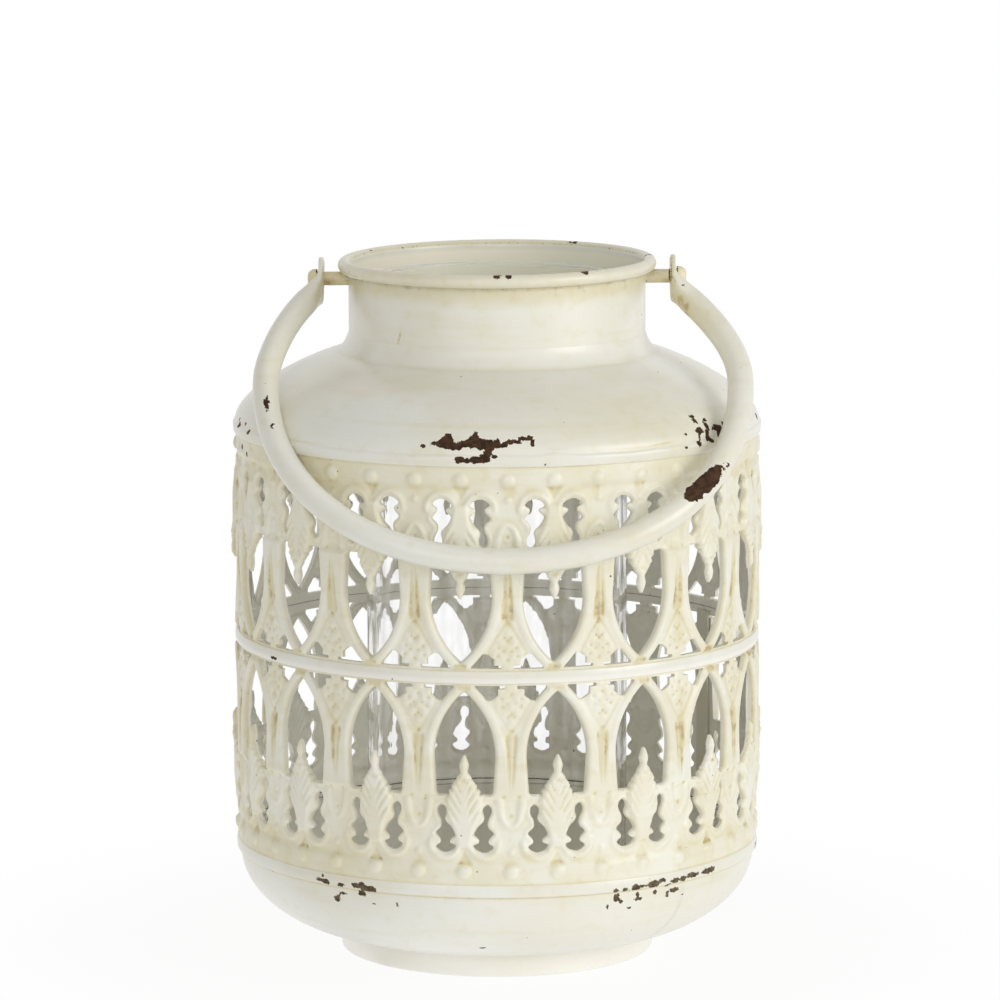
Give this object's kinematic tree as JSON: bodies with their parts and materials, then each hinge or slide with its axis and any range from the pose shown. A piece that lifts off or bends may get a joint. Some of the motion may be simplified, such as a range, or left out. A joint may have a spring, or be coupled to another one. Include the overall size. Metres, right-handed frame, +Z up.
{
  "type": "candle lantern",
  "caption": "Round iron lantern with pierced arch bands, spun bowl and shoulder, swinging bail handle and a lift-out glass tube round the candle.",
  "frame": {"origin": "on the lantern's axis at the underside of its foot", "axes": "+Z up along the lantern's axis, X along the line of the bail's pins, the bail hangs on the -Y side at rest"},
  "size_m": [0.2294, 0.2412, 0.2996],
  "materials": {
    "cream_paint": "satin cream paint with dark chips",
    "aged_paint": "cream paint with tan patina in the recesses",
    "inner_paint": "plain cream paint",
    "bare_iron": "dark iron",
    "clear_glass": "clear glass"
  },
  "bodies": {
    "lantern": {"foot_pan": "cream_paint", "base_bowl": "cream_paint", "candle_tray": "inner_paint", "tray_rivet_1": "bare_iron", "tray_rivet_2": "bare_iron", "tray_rivet_3": "bare_iron", "lower_filigree_band": "aged_paint", "lower_seam_strap": "inner_paint", "middle_hoop": "cream_paint", "upper_filigree_band": "aged_paint", "upper_seam_strap": "inner_paint", "shoulder_dome": "cream_paint", "neck_collar": "cream_paint", "rim_wire": "bare_iron", "right_pivot_pin": "aged_paint", "left_pivot_pin": "aged_paint"},
    "bail": {"bail_handle": "cream_paint"},
    "glass": {"glass_cylinder": "clear_glass"}
  },
  "joints": [
    {"name": "bail_swing", "type": "hinge", "parent": "lantern", "child": "bail", "pos_m": [0, 0, 0.2906], "axis": [-1, 0, 0], "range_deg": [0, 260]},
    {"name": "glass_lift", "type": "slide", "parent": "lantern", "child": "glass", "axis": [0, 0, 1], "range_m": [0, 0.29]}
  ]
}
